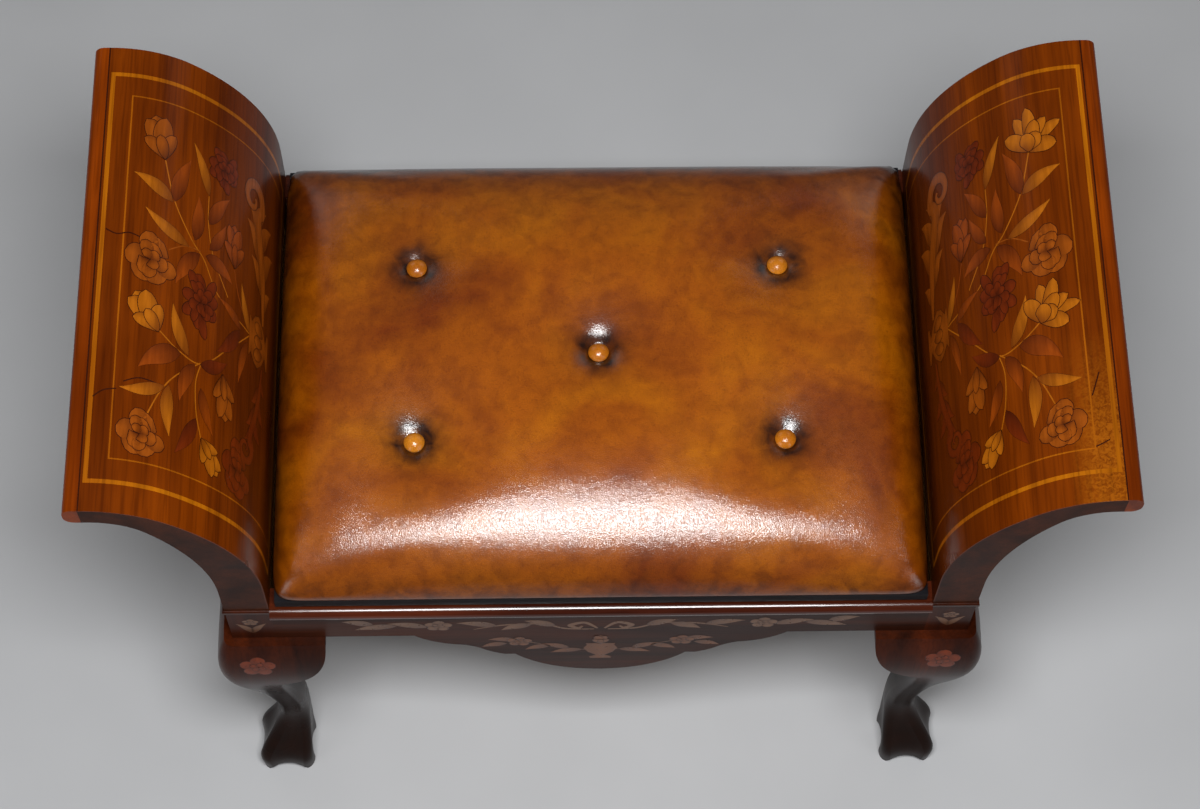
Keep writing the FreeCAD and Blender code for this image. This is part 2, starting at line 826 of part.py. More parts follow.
save("well_floor", well_floor())
save("lid_buffers", lid_buffers())
for (side, side_way), middle in zip(SIDES, hinge_middles()):
    save("hinge_frame_leaf_" + side, frame_leaf(middle))
    save("hinge_lid_leaf_" + side, lid_leaf(middle))
    save("hinge_pin_" + side, hinge_pin(middle))
save("hinge_frame_screws", frame_leaf_screws())
save("hinge_lid_screws", lid_leaf_screws())

save("lid_board", lid_board())
save("lid_lining", lid_lining())
save("seat_stuffing", seat_stuffing())
save("seat_leather", seat_leather())
save("seat_buttons", seat_buttons())
save("button_twines", button_twines())
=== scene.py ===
import math

import bmesh
import bpy
from mathutils import Matrix, Vector
from mathutils.bvhtree import BVHTree


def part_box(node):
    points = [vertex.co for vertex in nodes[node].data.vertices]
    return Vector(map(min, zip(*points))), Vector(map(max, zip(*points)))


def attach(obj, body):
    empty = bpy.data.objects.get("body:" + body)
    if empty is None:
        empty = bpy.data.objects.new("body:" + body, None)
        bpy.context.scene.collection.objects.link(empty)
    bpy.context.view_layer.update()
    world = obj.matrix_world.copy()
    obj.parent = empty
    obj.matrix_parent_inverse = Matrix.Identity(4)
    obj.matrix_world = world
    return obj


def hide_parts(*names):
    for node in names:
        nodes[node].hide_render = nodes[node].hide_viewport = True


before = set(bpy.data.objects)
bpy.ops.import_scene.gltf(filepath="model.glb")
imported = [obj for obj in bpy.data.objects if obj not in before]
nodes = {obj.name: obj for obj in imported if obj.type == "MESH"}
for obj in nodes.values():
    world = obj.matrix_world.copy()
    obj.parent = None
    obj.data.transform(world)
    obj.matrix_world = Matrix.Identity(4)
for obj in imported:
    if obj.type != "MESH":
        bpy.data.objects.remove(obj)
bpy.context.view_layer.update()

# Looks of a marquetry window stool: buttoned hand-dyed leather between two curved walnut arms.
# Metres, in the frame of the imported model: X across, -Y to the front, +Z up.

FRAME_BODY = "frame"
LID_BODY = "lid"
SIDES = {"left": -1, "right": 1}
ENDS = {"front": -1, "back": 1}

# Places taken from the frame
pad_low, pad_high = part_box("seat_leather")
board_low, board_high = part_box("lid_board")
button_low, button_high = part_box("seat_buttons")
veneer_low, veneer_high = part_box("arm_veneer_right")
rail_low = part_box("rail_front")[0]
lining_low, lining_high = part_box("lid_lining")
leg_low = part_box("leg_front_right")[0]
buffer_low, buffer_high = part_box("lid_buffers")
side_low, side_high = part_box("rail_right")

# Camera, as solved from the photograph
image_width = 1200
camera_focal_pixels = 2695
camera_elevation = math.radians(65.0)
camera_yaw = math.radians(-2.05)
camera_roll = math.radians(1.29)
camera_target = Vector((0.001, -0.037, 0.45))
camera_distance = 2.324
sensor_width = 36

# Studio light: each lamp's name, its place, what it faces, its width and depth, and its power in watts
SOFTBOX = ("softbox", (0.0, -0.78, 2.45), (0.0, -0.12, 0.45), (0.85, 0.42), 54)
FILLS = (
    ("front_fill", (1.9, -1.7, 1.2), (0.0, 0.0, 0.40), (1.2, 1.0), 8),
    ("back_fill", (1.7, 2.3, 1.8), (0.0, 0.0, 0.30), (1.6, 1.2), 4),
)
backdrop_strength = 0.09
floor_size = 40.0

# Finishes
MOST_OF_NOISE = (0.3, 0.7)
EVEN = (1, 1, 1)
wood_ior = 1.13
inlay_ior = 1.25
ebony_ior = 1.18
leather_ior = 1.2
leather_wax_ior = 1.53
leather_wax_roughness = 0.17
polish_roughness = 0.14
gloss_spread = 0.12
# Painted shade, with old polish build-up, on the arm ground beside the seat: its height and its strongest
# share
seat_shade_and_grime_rise = 0.17
seat_shade_and_grime_share = 0.75
patch_start_inwards = 0.042
patch_full_inwards = 0.022
patch_start_back = 0.150
patch_full_back = 0.060
leg_black_height = 0.20
leg_brown_height = 0.30

# Woods of the CAD nodes: material, light and dark colour, grain, roughness, polish, and the nodes
WOODS = (
    ("frame_walnut", (74, 31, 9), (40, 15, 5), "X", 0.30, 0.06, ("rail_front", "rail_back", "apron_")),
    ("side_walnut", (74, 31, 9), (40, 15, 5), "Y", 0.30, 0.06, ("rail_left", "rail_right")),
    ("arm_walnut", (78, 35, 11), (44, 18, 6), "Y", 0.38, 0.04, ("arm_left", "arm_right")),
    ("edge_walnut", (152, 65, 3), (110, 43, 2), "Y", 0.24, 0.10, ("arm_edge_",)),
    ("knee_walnut", (72, 28, 7), (38, 13, 4), "Z", 0.26, 0.06, ("knee_bracket_",)),
    ("bead_walnut", (92, 37, 15), (54, 20, 9), "X", 0.18, 0.75, ("top_bead_",)),
    ("base_bead_walnut", (70, 27, 7), (40, 14, 4), "Y", 0.20, 0.30, ("base_bead_",)),
    ("boxwood_string", (188, 110, 10), (158, 86, 7), "Y", 0.26, 0.10, ("bold_string_",)),
    ("fine_boxwood", (176, 99, 11), (146, 76, 7), "Y", 0.26, 0.10, ("fine_string_",)),
    ("pine", (196, 150, 92), (160, 108, 58), "X", 0.5, 0.2, ("well_floor", "floor_cleat_", "corner_block_")),
    ("beech", (190, 140, 92), (158, 106, 62), "Z", 0.5, 0.2, ("arm_dowels_",)),
)

# Woods of the marquetry: material, colour, and the colour where hot sand has scorched it
INLAY_WOODS = {
    "yellow": ("boxwood_inlay", (164, 91, 10), (96, 40, 3)),
    "orange": ("satinwood_inlay", (134, 58, 5), (70, 23, 2)),
    "brown": ("maple_inlay", (138, 67, 8), (72, 26, 3)),
    "red": ("padauk_inlay", (102, 35, 3), (64, 20, 3)),
    "pale": ("holly_inlay", (112, 76, 50), (78, 44, 24)),
    "tan": ("pear_inlay", (110, 62, 26), (72, 36, 14)),
    "knee": ("knee_inlay", (112, 42, 4), (72, 24, 3)),
    "line": ("line_inlay", (54, 17, 3), (40, 12, 2)),
}

# Curve of the arms: a straight rise at the foot, then two round bends that end level
arm_straight = 0.050
arm_first_turn = math.radians(46.0)

# Leather pad
pad_widest = 0.009
pad_lap = 0.0015
pad_hem_rise = 0.0055
pad_smoothing = 12
pad_settling = 30
pad_corner = 0.014
pad_corner_steps = 5
pad_voxel = 0.005
pad_pressure = 4.0
pad_cloth_frames = 20
pad_swell_limit = 0.004
tuft_reach = 0.0078
tuft_rim_reach = 0.038
tuft_rim_depth = 0.006
tuft_radius = 0.022
button_radius = 0.0088
plan_low = Vector((pad_low.x, board_low.y - pad_lap, board_low.z + pad_hem_rise))
plan_high = Vector((pad_high.x, board_high.y + pad_lap, pad_high.z))

# Edges of the pad: width of the roll, reach of the dome inside it, and the roll's share of the height
PAD_END = (0.030, 0.220, 0.75)
PAD_FRONT = (0.022, 0.150, 0.25)

# Dark dye on the leather, with painted shade in the pits right round the buttons: its share where it starts,
# and the distance over which it fades
RIM_DYE = (0.5, 0.016)
EDGE_DYE = (0.26, 0.060)
BACK_DYE = (0.4, 0.08)
# Dye, with painted shade, in the pit right round each button
PIT_DYE_AND_SHADE = (1.6, 0.017)
HALO_DYE = (0.25, 0.045)
most_dye_and_shade = 0.96

# Marquetry: pieces lie in layers a hair apart, each with a dark line round it
layer_lift = 0.00004
stem_layer = 1
line_layer = 2
leaf_layer = 3
flower_layer = 4
line_margin = 0.0006
stem_width = 0.0012
crack_width = 0.0011
scorched_base = 0.15
scorched_run = 1.25
scorched_side = 0.45
ribbon_side_shade = 0.3
vase_side_shade = 0.45
apron_vase_side_shade = 0.4
blunt_end = 0.03
look_ahead = 0.01
leaf_steps = 12
LEAF_ACROSS = (-1.0, -0.5, 0.0, 0.5, 1.0)

# Flowers: rings as counts of petals with their inner ends, outer ends and widths in shares of the radius,
# and fans as petals with their angles in degrees, lengths and widths in shares
ROSE_RINGS = ((6, 0.15, 1.0, 0.85), (5, 0.08, 0.68, 0.62), (3, 0.0, 0.4, 0.42))
DAHLIA_RINGS = ((9, 0.2, 1.0, 0.56), (7, 0.1, 0.7, 0.46), (5, 0.0, 0.42, 0.34))
KNEE_RINGS = ((5, 0.1, 1.0, 0.8), (4, 0.0, 0.45, 0.34))
TULIP = ((0, 1.0, 0.62), (-13, 0.96, 0.5), (13, 0.96, 0.5),
         (-34, 0.62, 0.34), (34, 0.62, 0.34), (0, 0.55, 0.3))
CARNATION = ((-34, 0.94, 0.3), (32, 0.9, 0.34), (-15, 0.84, 0.32), (14, 1.04, 0.34), (0, 0.74, 0.36),
             (-66, 0.6, 0.42), (64, 0.68, 0.42), (-24, 0.46, 0.42), (30, 0.42, 0.38))
fan_bend = 0.06
first_petal_turn = 0.2
ring_turn = 0.5
ragged_petal_step = 2.4
ragged_ring_step = 1.7
ragged_turn = 0.12
ragged_length = 0.14
ragged_width = 0.2
ragged_bend = 0.08

# Leafy scrolls beside the vase: root, eye, radius and breadth in millimetres, way and wood; each has a curl
# of even turns, and lobes at shares of the way to it
scroll_steps = 11
scroll_start = math.radians(-150)
scroll_turn = math.radians(45)
scroll_sag = 0.004
ARM_SCROLLS = (((92, 12), (122, 120), 20, 13, 1, "brown"), ((90, -28), (118, -112), 14, 8, -1, "red"))
SCROLL_LOBES = (0.12, 0.26, 0.40, 0.54, 0.68, 0.82, 0.94)
lobe_least = 0.9
lobe_swell = 1.1
lobe_out = 1.1
lobe_onward = 1.4
lobe_width = 0.75
lobe_bend = 0.25

# Bouquet of an arm in millimetres up the curve and along the stool, first its stems
BOUQUET_STEMS = (
    ("yellow", (230, 111), (219, 74), (201, 46), (186, 32), (165, 5), (120, -8)),
    ("yellow", (184, 93), (183, 67), (175, 38), (155, 10)),
    ("brown", (222, 28), (206, 37), (190, 38)),
    ("yellow", (227, -46), (207, -59), (182, -62), (150, -35), (120, -10)),
    ("yellow", (232, -121), (222, -99), (208, -81), (184, -62)),
    ("yellow", (179, -128), (186, -106), (188, -80), (183, -62)),
    ("orange", (148, 40), (140, 18), (124, -4)),
)
# Leaves: base, tip, width, sideways bend and wood
BOUQUET_LEAVES = (
    ((221, 73), (255, 93), 12, 2, "yellow"),
    ((219, 74), (205, 118), 14, -2, "orange"),
    ((184, 93), (203, 136), 10, 2, "yellow"),
    ((203, 38), (244, 62), 11, -3, "yellow"),
    ((197, 46), (195, 88), 13, 2, "orange"),
    ((182, 67), (159, 100), 13, -2, "orange"),
    ((191, 35), (214, 0), 14, 3, "orange"),
    ((184, 36), (150, 24), 13, -3, "orange"),
    ((180, 44), (162, 74), 11, 2, "orange"),
    ((197, -60), (215, -19), 12, -3, "yellow"),
    ((205, -61), (242, -82), 17, 4, "orange"),
    ((219, -94), (256, -102), 11, -3, "yellow"),
    ((190, -66), (204, -102), 13, 3, "orange"),
    ((215, -92), (212, -136), 12, 2, "yellow"),
    ((186, -112), (206, -148), 12, -2, "red"),
    ((182, -84), (166, -120), 11, 2, "orange"),
    ((184, -63), (152, -50), 12, 3, "red"),
    ((136, -12), (166, -44), 13, -3, "red"),
    ((134, -11), (166, 5), 9, 2, "orange"),
    ((119, -8), (136, 32), 9, -2, "yellow"),
    ((122, -17), (135, -60), 10, 2, "orange"),
)
# Round flowers: middle, radius, stretch along the stool, rings and wood
BOUQUET_ROSES = (
    ((187, -8), 20, 1.45, DAHLIA_RINGS, "red"),
    ((167, 125), 19, 1.0, DAHLIA_RINGS, "red"),
    ((131, -137), 22, 1.15, ROSE_RINGS, "red"),
    ((237, -140), 20, 1.0, ROSE_RINGS, "brown"),
    ((237, 15), 22, 1.05, ROSE_RINGS, "brown"),
)
# Tulips: base, tip, width and wood
BOUQUET_TULIPS = (
    ((148, 40), (150, 80), 27, "orange"),
    ((157, -62), (151, -102), 27, "brown"),
    ((179, -127), (158, -153), 25, "yellow"),
)
# The two large flowers: base, tip and width, and what differs from arm to arm, petals and upper wood
TOP_FLOWER = ((230, 110), (240, 149), 34)
LOWER_FLOWER = ((227, -48), (248, -16), 34)
LARGE_FLOWERS = {"left": (TULIP, "brown"), "right": (CARNATION, "yellow")}
# Vase: middle along the stool, and half widths at rising heights
vase_middle = -8
ARM_VASE = ((76, 16), (80, 17), (84, 7), (92, 17), (102, 24), (110, 21), (116, 14), (120, 19))
vase_rib_spread = 1.2
vase_rib_width = 0.45
# Old cracks in the two arms
CRACKS = {
    "left": (((275, 38), (266, 34), (256, 36), (246, 33)), ((276, -112), (268, -106), (258, -104)),
             ((253, -97), (240, -92), (224, -94))),
    "right": (((269, -99), (266, -108), (262, -119)), ((261, -163), (266, -161), (272, -158))),
}

# Half of the spray on a rail and its apron, in millimetres out from the middle and up from the rail's foot,
# with its widths and radii in metres
RAIL_CURL = ((3, 14), (14, 28), (26, 22), (20, 15), (16, 20))
RAIL_CURL_WIDTHS = (0.002, 0.005, 0.006, 0.004, 0.002)
RAIL_STEM = ((6, 12), (30, 14), (52, 26), (84, 24), (110, 14))
RAIL_STEM_WIDTHS = (0.002, 0.003, 0.003, 0.003, 0.001)
RAIL_LEAVES = (((40, 20), (66, 34)), ((60, 25), (86, 12)), ((90, 22), (124, 30)), ((150, 20), (184, 30)),
               ((176, 24), (212, 16)), ((196, 26), (222, 36)))
RAIL_ROSE = (140, 24)
rail_leaf_width = 0.012
rail_rose_radius = 0.012
APRON_STEM = ((8, -40), (30, -36), (56, -22), (68, -18))
APRON_LEAVES = (((16, -39), (44, -46)), ((28, -36), (52, -24)), ((44, -28), (66, -38)),
                ((74, -14), (98, -12)), ((82, -22), (104, -30)))
APRON_ROSE = (71, -17)
APRON_VASE = ((9, -62), (10, -58), (4, -54), (11, -46), (15, -36), (12, -28), (13, -24))
APRON_TULIP = ((0, -24), (0, -4))
apron_leaf_width = 0.010
apron_rose_radius = 0.011
apron_tulip_width = 0.016
spray_leaf_bend = 0.002

# Flower on a knee and sprig on the post above it, measured in the same way from the middle of the post
KNEE_ROSE = (0, -30)
SPRIG_ROSE = (0, 38)
SPRIG_LEAF = ((0, 12), (13, 34))
knee_rose_radius = 0.016
sprig_rose_radius = 0.007
sprig_leaf_width = 0.007

# Cloth and felt
lining_columns = 48
lining_rows = 36
lining_ripples_across = 9
lining_ripple_slant = 4
lining_ripples_along = 7
FELT_PROFILE = ((0.0, 1.0), (0.6, 0.97), (0.88, 0.86), (1.0, 0.55), (0.97, 0.0))
felt_steps = 40


# Objects and meshes

def placed(name, data):
    """Object in the scene for a mesh, a lamp or a camera."""
    made = bpy.data.objects.new(name, data)
    bpy.context.scene.collection.objects.link(made)
    return made


def finished(name, drawing):
    """Mesh of what was drawn."""
    mesh = bpy.data.meshes.new(name)
    drawing.to_mesh(mesh)
    drawing.free()
    return mesh


def shown(name, mesh, body):
    """Object for a finished mesh, riding on a body and named for a finish."""
    piece = placed(name, mesh)
    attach(piece, body)
    return piece


def paint(material, *names):
    """Gives CAD nodes a material, by their full names or by the start of them."""
    for name, node in nodes.items():
        if name.startswith(names):
            node.data.materials.clear()
            node.data.materials.append(material)


# Camera, lights and floor

def make_camera():
    """Camera of the photograph: turned and rolled a little, and looking steeply down."""
    turn = Matrix.Rotation(camera_yaw, 3, "Z")
    forward = turn @ Vector((0, math.cos(camera_elevation), -math.sin(camera_elevation)))
    level_up = turn @ Vector((0, math.sin(camera_elevation), math.cos(camera_elevation)))
    level_right = forward.cross(level_up)
    right = level_right * math.cos(camera_roll) + level_up * math.sin(camera_roll)
    up = level_up * math.cos(camera_roll) - level_right * math.sin(camera_roll)
    data = bpy.data.cameras.new("camera")
    data.sensor_fit = "HORIZONTAL"
    data.sensor_width = sensor_width
    data.lens = camera_focal_pixels * sensor_width / image_width
    camera = placed("camera", data)
    axes = Matrix((right, up, -forward)).transposed().to_4x4()
    camera.matrix_world = Matrix.Translation(camera_target - forward * camera_distance) @ axes
    bpy.context.scene.camera = camera


def make_lamp(name, place, aim, size, power):
    """Flat, soft lamp that faces its aim."""
    data = bpy.data.lights.new(name, "AREA")
    data.shape = "RECTANGLE"
    data.size, data.size_y = size
    data.energy = power
    lamp = placed(name, data)
    lamp.location = place
    lamp.rotation_euler = (Vector(place) - Vector(aim)).to_track_quat("Z", "Y").to_euler()


def make_lights():
    """One softbox above the front, with a weak pair of lamps in front and another behind."""
    make_lamp(*SOFTBOX)
    for way in SIDES.values():
        for name, (x, y, z), *rest in FILLS:
            make_lamp(name, (way * x, y, z), *rest)


def make_world():
    """Even white surroundings."""
    world = bpy.data.worlds.new("studio")
    world.use_nodes = True
    backdrop = world.node_tree.nodes["Background"]
    backdrop.inputs["Color"].default_value = (1.0, 1.0, 1.0, 1.0)
    backdrop.inputs["Strength"].default_value = backdrop_strength
    bpy.context.scene.world = world


def make_floor():
    """Plain pale floor."""
    square = bmesh.new()
    bmesh.ops.create_grid(square, x_segments=1, y_segments=1, size=floor_size / 2)
    floor = placed("floor", finished("floor", square))
    recipe = Recipe("pale_floor")
    tone = recipe.noise(scale=3.0, detail=4.0)
    recipe.colour(recipe.ramp(tone, ((0.3, tint(178, 179, 181)), (0.7, tint(186, 187, 189)))))
    recipe.put("Roughness", 0.7)
    floor.data.materials.append(recipe.material)


# Materials

def tint(red, green, blue):
    """Shader colour for a colour read off the screen, each part from 0 to 255."""

    def linear(part):
        share = part / 255
        return share / 12.92 if share <= 0.04045 else ((share + 0.055) / 1.055) ** 2.4

    return (linear(red), linear(green), linear(blue), 1.0)


class Recipe:
    """A procedural material, with short ways to add its nodes."""

    def __init__(self, name):
        self.material = bpy.data.materials.new(name)
        self.material.use_nodes = True
        self.tree = self.material.node_tree
        self.shader = self.tree.nodes["Principled BSDF"]

    def node(self, kind, sockets, **settings):
        """New node with its settings, and with values or other nodes' outputs in its sockets."""
        made = self.tree.nodes.new(kind)
        for key, value in settings.items():
            setattr(made, key, value)
        for key, source in sockets.items():
            self.feed(made.inputs[key], source)
        return made

    def feed(self, target, source):
        """Joins a node's output to a socket, or sets the socket to a plain value."""
        if isinstance(source, bpy.types.NodeSocket):
            self.tree.links.new(source, target)
        else:
            target.default_value = source

    def put(self, socket, source):
        """Feeds a socket of the shader."""
        self.feed(self.shader.inputs[socket], source)

    def fed(self, socket):
        """What feeds a socket of the shader so far."""
        return self.shader.inputs[socket].links[0].from_socket

    def places(self, stretch):
        source = self.node("ShaderNodeTexCoord", {}).outputs["Object"]
        return self.node("ShaderNodeMapping", {"Scale": stretch, "Vector": source}).outputs["Vector"]

    def place(self, axis):
        """Where the point that is shaded lies along an axis."""
        return self.node("ShaderNodeSeparateXYZ", {"Vector": self.places(EVEN)}).outputs[axis]

    def noise(self, scale, detail, distortion=0.0, stretch=EVEN):
        sockets = {"Vector": self.places(stretch), "Scale": scale, "Detail": detail, "Distortion": distortion}
        return self.node("ShaderNodeTexNoise", sockets).outputs["Fac"]

    def cells(self, scale):
        sockets = {"Vector": self.places(EVEN), "Scale": scale}
        return self.node("ShaderNodeTexVoronoi", sockets, feature="DISTANCE_TO_EDGE").outputs["Distance"]

    def attribute(self, name):
        return self.node("ShaderNodeAttribute", {}, attribute_name=name).outputs["Fac"]

    def ramp(self, value, stops):
        ramp = self.node("ShaderNodeValToRGB", {"Fac": value})
        elements = ramp.color_ramp.elements
        while len(elements) < len(stops):
            elements.new(1.0)
        for element, (place, colour) in zip(elements, stops):
            element.position = place
            element.color = colour
        return ramp.outputs["Color"]

    def span(self, value, old, new):
        """Spreads a value from an old range over a new one."""
        names = ("Value", "From Min", "From Max", "To Min", "To Max")
        sockets = dict(zip(names, (value, *old, *new)))
        return self.node("ShaderNodeMapRange", sockets, clamp=True).outputs["Result"]

    def mix(self, share, first, second, mode="MIX"):
        mixer = self.node("ShaderNodeMix", {}, data_type="RGBA", blend_type=mode)
        sockets = {socket.name: socket for socket in mixer.inputs if socket.enabled}
        self.feed(sockets["Factor"], share)
        self.feed(sockets["A"], first)
        self.feed(sockets["B"], second)
        return next(socket for socket in mixer.outputs if socket.enabled)

    def darkened(self, body, pattern, reach, shadow, share):
        """A colour darkened where a pattern is low, and left alone where it is past its reach."""
        low, high = reach
        veil = self.ramp(pattern, ((low, shadow), (high, tint(255, 255, 255))))
        return self.mix(share, body, veil, "MULTIPLY")

    def times(self, first, second):
        return self.node("ShaderNodeMath", {0: first, 1: second}, operation="MULTIPLY").outputs["Value"]

    def colour(self, source):
        self.put("Base Color", source)

    def rough(self, pattern, low, high):
        """Roughness that goes from low to high with a noise."""
        self.put("Roughness", self.span(pattern, MOST_OF_NOISE, (low, high)))

    def bump(self, height, strength, distance):
        """Adds fine relief on top of the relief that is there already."""
        sockets = {"Strength": strength, "Distance": distance, "Height": height}
        if self.shader.inputs["Normal"].is_linked:
            sockets["Normal"] = self.fed("Normal")
        self.put("Normal", self.node("ShaderNodeBump", sockets).outputs["Normal"])

    def coat(self, weight, roughness):
        self.put("Coat Weight", weight)
        self.put("Coat Roughness", roughness)


def along_grain(axis, share):
    """Stretch of a texture that draws it out along the grain."""
    return tuple(share if name == axis else 1.0 for name in "XYZ")


def wood(name, light, dark, axis, gloss, polish):
    """Old wood: figure and pores drawn out along the grain, mottling, and a coat of polish."""
    recipe = Recipe(name)
    figure = recipe.noise(scale=26.0, detail=8.0, distortion=0.9, stretch=along_grain(axis, 0.08))
    body = recipe.ramp(figure, ((0.32, tint(*dark)), (0.68, tint(*light))))
    mottle = recipe.noise(scale=9.0, detail=3.0)
    body = recipe.darkened(body, mottle, MOST_OF_NOISE, tint(170, 150, 135), share=0.5)
    pores = recipe.noise(scale=520.0, detail=2.0, stretch=along_grain(axis, 0.035))
    body = recipe.darkened(body, pores, (0.34, 0.52), tint(120, 95, 80), share=0.3)
    streaks = recipe.noise(scale=130.0, detail=4.0, distortion=0.3, stretch=along_grain(axis, 0.03))
    body = recipe.darkened(body, streaks, (0.36, 0.6), tint(140, 115, 100), share=0.3)
    recipe.colour(body)
    recipe.rough(mottle, gloss, gloss + gloss_spread)
    recipe.bump(pores, strength=0.1, distance=0.0003)
    recipe.put("IOR", wood_ior)
    recipe.coat(polish, polish_roughness)
    return recipe


def inlay_wood(name, colour, scorched):
    """Marquetry wood, shaded dark with hot sand where its pieces meet."""
    recipe = Recipe(name)
    shade = recipe.attribute("shade")
    grain = recipe.noise(scale=260.0, detail=4.0, distortion=0.4, stretch=along_grain("Y", 0.12))
    body = recipe.mix(shade, tint(*scorched), tint(*colour))
    recipe.colour(recipe.darkened(body, grain, (0.3, 0.65), tint(165, 150, 140), share=0.45))
    recipe.rough(grain, 0.26, 0.36)
    recipe.bump(grain, strength=0.08, distance=0.0003)
    recipe.put("IOR", inlay_ior)
    recipe.coat(0.08, polish_roughness)
    return recipe.material


def ground_wood():
    """Ground of the marquetry: painted shade and old polish build-up beside the seat, with a speckled patch
    at the right front corner.
    """
    recipe = wood("arm_ground", (130, 57, 2), (96, 38, 1), "Y", gloss=0.26, polish=0.1)
    body = recipe.fed("Base Color")
    foot = veneer_low.z
    # Painted shade, with old polish build-up: the ground darkens towards the seat at the foot of the arm
    shade = recipe.span(recipe.place("Z"), (foot, foot + seat_shade_and_grime_rise), (seat_shade_and_grime_share, 0.0))
    body = recipe.mix(shade, body, tint(44, 14, 2))
    outer = veneer_high.x
    inwards = (outer - patch_start_inwards, outer - patch_full_inwards)
    across = recipe.span(recipe.place("X"), inwards, (0.0, 0.8))
    front = veneer_low.y
    backwards = (front + patch_start_back, front + patch_full_back)
    along = recipe.span(recipe.place("Y"), backwards, (0.0, 1.0))
    corner = recipe.times(across, along)
    figure = recipe.noise(scale=300.0, detail=4.0, distortion=1.2)
    speckle = recipe.span(figure, (0.36, 0.62), (0.25, 1.0))
    recipe.colour(recipe.mix(recipe.times(corner, speckle), body, tint(148, 80, 9)))
    return recipe.material


def leg_wood():
    """Walnut that is stained nearly black from the shin down."""
    recipe = wood("leg_walnut", (78, 30, 7), (42, 14, 4), "Z", gloss=0.26, polish=0.06)
    body = recipe.fed("Base Color")
    brown = recipe.span(recipe.place("Z"), (leg_black_height, leg_brown_height), (0.0, 1.0))
    black = recipe.mix(recipe.noise(scale=60.0, detail=4.0), tint(16, 8, 5), tint(34, 16, 9))
    recipe.colour(recipe.mix(brown, black, body))
    return recipe.material


def leather(name, dark, middle, light):
    """Hand-dyed hide: honey ground, brown clouds, dark dye and painted pit shade from an attribute, fine
    grain and wax.
    """
    recipe = Recipe(name)
    clouds = recipe.noise(scale=11.0, detail=6.0, distortion=0.6)
    body = recipe.ramp(clouds, ((0.30, tint(*dark)), (0.50, tint(*middle)), (0.72, tint(*light))))
    sponged = recipe.noise(scale=70.0, detail=8.0, distortion=0.4)
    body = recipe.darkened(body, sponged, (0.32, 0.6), tint(175, 150, 130), share=0.34)
    pebbles = recipe.cells(scale=740.0)
    body = recipe.darkened(body, pebbles, (0.0, 0.12), tint(150, 125, 110), share=0.5)
    # Dark dye, with painted shade in the pits round the buttons
    dye_and_shade = recipe.times(recipe.attribute("dye_and_pit_shade"), recipe.span(sponged, (0.3, 0.6), (1.15, 0.75)))
    recipe.colour(recipe.mix(dye_and_shade, body, tint(34, 11, 2)))
    recipe.rough(clouds, 0.42, 0.34)
    recipe.bump(pebbles, strength=0.34, distance=0.00045)
    recipe.bump(recipe.noise(scale=180.0, detail=3.0), strength=0.12, distance=0.0012)
    recipe.put("IOR", leather_ior)
    recipe.coat(1.0, leather_wax_roughness)
    recipe.put("Coat IOR", leather_wax_ior)
    recipe.put("Coat Normal", recipe.fed("Normal"))
    return recipe.material


def ebonised():
    """Wood stained black, a little worn."""
    recipe = Recipe("ebonised_edge")
    worn = recipe.noise(scale=70.0, detail=5.0, stretch=along_grain("X", 0.4))
    recipe.colour(recipe.ramp(worn, ((0.35, tint(8, 8, 10)), (0.75, tint(26, 25, 29)))))
    recipe.put("IOR", ebony_ior)
    recipe.rough(worn, 0.35, 0.5)
    recipe.bump(worn, strength=0.1, distance=0.0004)
    return recipe.material


def brass():
    """Brass with brown tarnish."""
    recipe = Recipe("aged_brass")
    tarnish = recipe.noise(scale=90.0, detail=5.0)
    recipe.colour(recipe.ramp(tarnish, ((0.35, tint(112, 82, 38)), (0.7, tint(190, 150, 78)))))
    recipe.put("Metallic", 1.0)
    recipe.rough(tarnish, 0.48, 0.26)
    recipe.bump(tarnish, strength=0.06, distance=0.0003)
    return recipe.material


def cloth(name, light, dark, threads):
    """Woven or felted cloth with a soft sheen."""
    recipe = Recipe(name)
    warp = recipe.noise(scale=threads, detail=2.0, stretch=along_grain("Y", 0.06))
    weft = recipe.noise(scale=threads, detail=2.0, stretch=along_grain("X", 0.06))
    weave = recipe.times(warp, weft)
    recipe.colour(recipe.ramp(weave, ((0.12, tint(*dark)), (0.4, tint(*light)))))
    recipe.put("Roughness", 0.9)
    recipe.put("Sheen Weight", 0.3)
    recipe.bump(weave, strength=0.3, distance=0.0006)
    return recipe.material


# Seat pad

def tuft_places():
    """Middles of the five buttons: one in the centre and four at the corners of their box."""
    reach_x = button_high.x - button_radius
    row_back = button_high.y - button_radius
    row_front = button_low.y + button_radius
    corners = [(side * reach_x, row) for row in (row_front, row_back) for side in (-1, 1)]
    return corners + [(0.0, (row_front + row_back) / 2)]


def tuft_distances(x, y):
    """How far a point is from the middle of each button, in plan."""
    return [math.hypot(x - tuft_x, y - tuft_y) for tuft_x, tuft_y in tuft_places()]


def button_distance(spot):
    """How far a point is from the middle of the nearest button, in plan."""
    return min(tuft_distances(*spot.xy))


def edge_distances(x, y):
    """How far a point of the pad's plan is inside its ends and inside its front or back."""
    inside_end = min(x - plan_low.x, plan_high.x - x)
    inside_side = min(y - plan_low.y, plan_high.y - y)
    return max(inside_end, 0.0), max(inside_side, 0.0)


def swell(inside, roll, reach, roll_share):
    """Share of the full height at a distance inside an edge: a rolled edge under a long dome."""
    edge = 1 - min(inside / roll, 1.0)
    dome = 1 - min(inside / reach, 1.0)
    return roll_share * math.sqrt(1 - edge * edge) + (1 - roll_share) * (1 - dome * dome)


def crown(x, y):
    """Height of the stuffed pad above its board."""
    inside_end, inside_side = edge_distances(x, y)
    rise = plan_high.z - board_high.z - pad_widest
    return pad_widest + rise * swell(inside_end, *PAD_END) * swell(inside_side, *PAD_FRONT)


